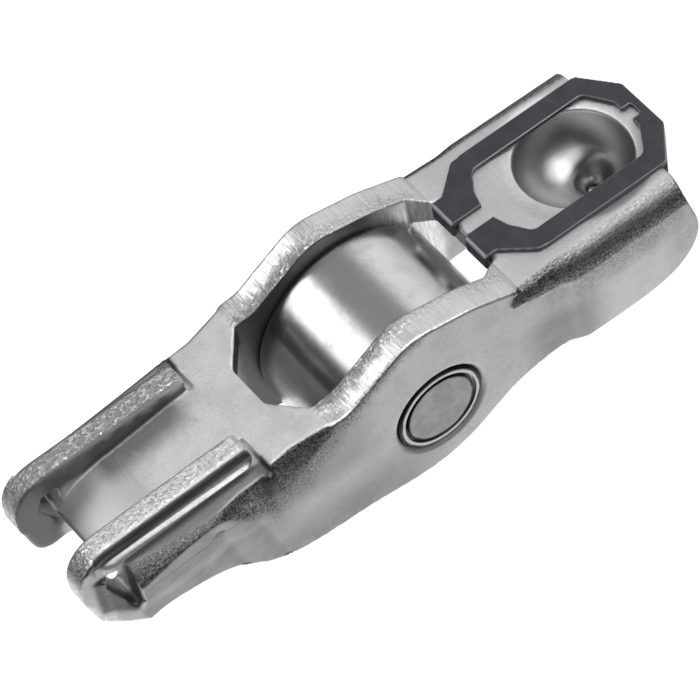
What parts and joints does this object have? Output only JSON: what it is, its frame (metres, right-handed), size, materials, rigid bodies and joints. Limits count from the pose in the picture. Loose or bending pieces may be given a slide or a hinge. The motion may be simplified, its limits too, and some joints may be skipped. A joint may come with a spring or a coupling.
{
  "type": "rocker arm",
  "caption": "Pressed sheet-steel roller finger follower with ball socket, valve pad between guide flanges, cam roller on needles and spring retaining clip.",
  "frame": {"origin": "centre of the ball of the lash adjuster that seats in the drawn socket", "axes": "+X along the lever from the valve end to the pivot end, +Z out of the socket's mouth, which is the side that faces the valve and the lash adjuster; the roller's axle lies along Y"},
  "size_m": [0.0594, 0.0168, 0.0187],
  "materials": {
    "pressed_steel": "tumbled, case-hardened sheet, satin with rough bends and sheared edges",
    "pin_steel": "ground, with staked ends",
    "roller_steel": "fine ground bearing steel",
    "needle_steel": "polished bearing steel",
    "clip_steel": "black phosphated spring steel"
  },
  "bodies": {
    "lever": {"lever_body": "pressed_steel", "axle_pin": "pin_steel", "retaining_clip": "clip_steel"},
    "roller": {"roller": "roller_steel"},
    "needles": {"needle_01": "needle_steel", "needle_02": "needle_steel", "needle_03": "needle_steel", "needle_04": "needle_steel", "needle_05": "needle_steel", "needle_06": "needle_steel", "needle_07": "needle_steel", "needle_08": "needle_steel", "needle_09": "needle_steel", "needle_10": "needle_steel", "needle_11": "needle_steel", "needle_12": "needle_steel", "needle_13": "needle_steel", "needle_14": "needle_steel", "needle_15": "needle_steel", "needle_16": "needle_steel", "needle_17": "needle_steel", "needle_18": "needle_steel"}
  },
  "joints": [
    {"name": "roller_spin", "type": "hinge", "parent": "lever", "child": "roller", "pos_m": [-0.0201, 0, -0.00779], "axis": [0, 1, 0], "continuous": true},
    {"name": "needle_orbit", "type": "hinge", "parent": "lever", "child": "needles", "pos_m": [-0.0201, 0, -0.00779], "axis": [0, 1, 0], "continuous": true}
  ],
  "couplings": [
    {"joint": "needle_orbit", "follows": "roller_spin", "ratio": 0.58437}
  ]
}
